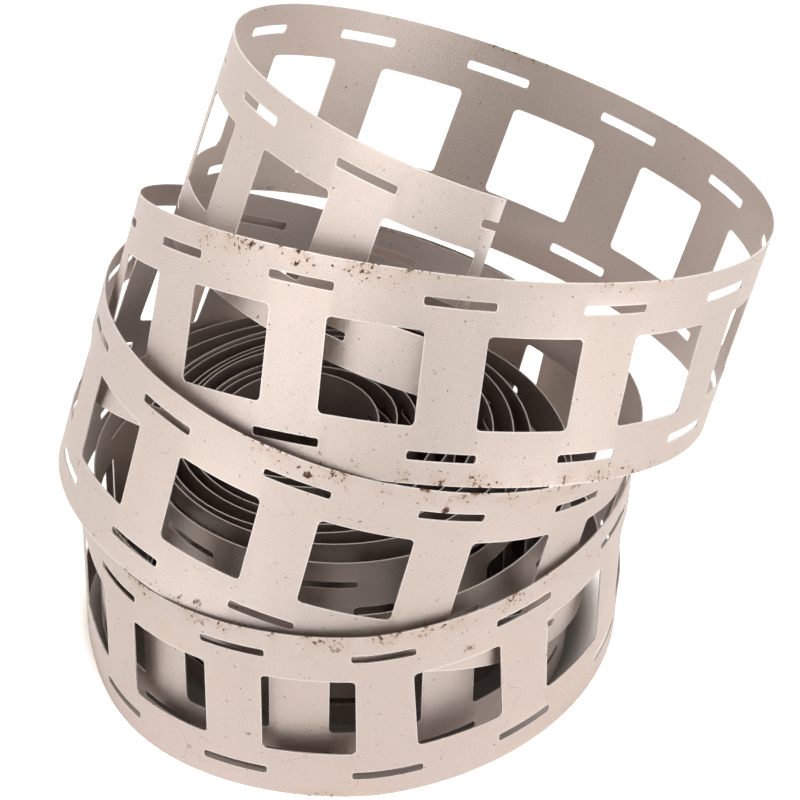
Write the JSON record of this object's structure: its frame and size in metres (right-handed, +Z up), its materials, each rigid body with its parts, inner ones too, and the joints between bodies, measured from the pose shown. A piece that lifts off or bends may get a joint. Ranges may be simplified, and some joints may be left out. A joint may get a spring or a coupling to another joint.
{
  "type": "nickel strip",
  "caption": "Long punched nickel strip of ladder shape for joining battery cells, wound into a loose flat coil whose outer turns have sprung up into a leaning spring.",
  "frame": {"origin": "on the floor, at the middle of the floor turn, where the strip begins to rise", "axes": "+Z up from the floor, along the flat coil's axis; +X to the right and +Y to the back as the coil is seen with its free end in front"},
  "size_m": [0.0896, 0.0858, 0.0818],
  "materials": {
    "nickel": "rolled nickel, satin, with a fine grain, bright punched edges and small rust specks"
  },
  "bodies": {
    "root": {"nickel_strip": "nickel"}
  },
  "joints": []
}
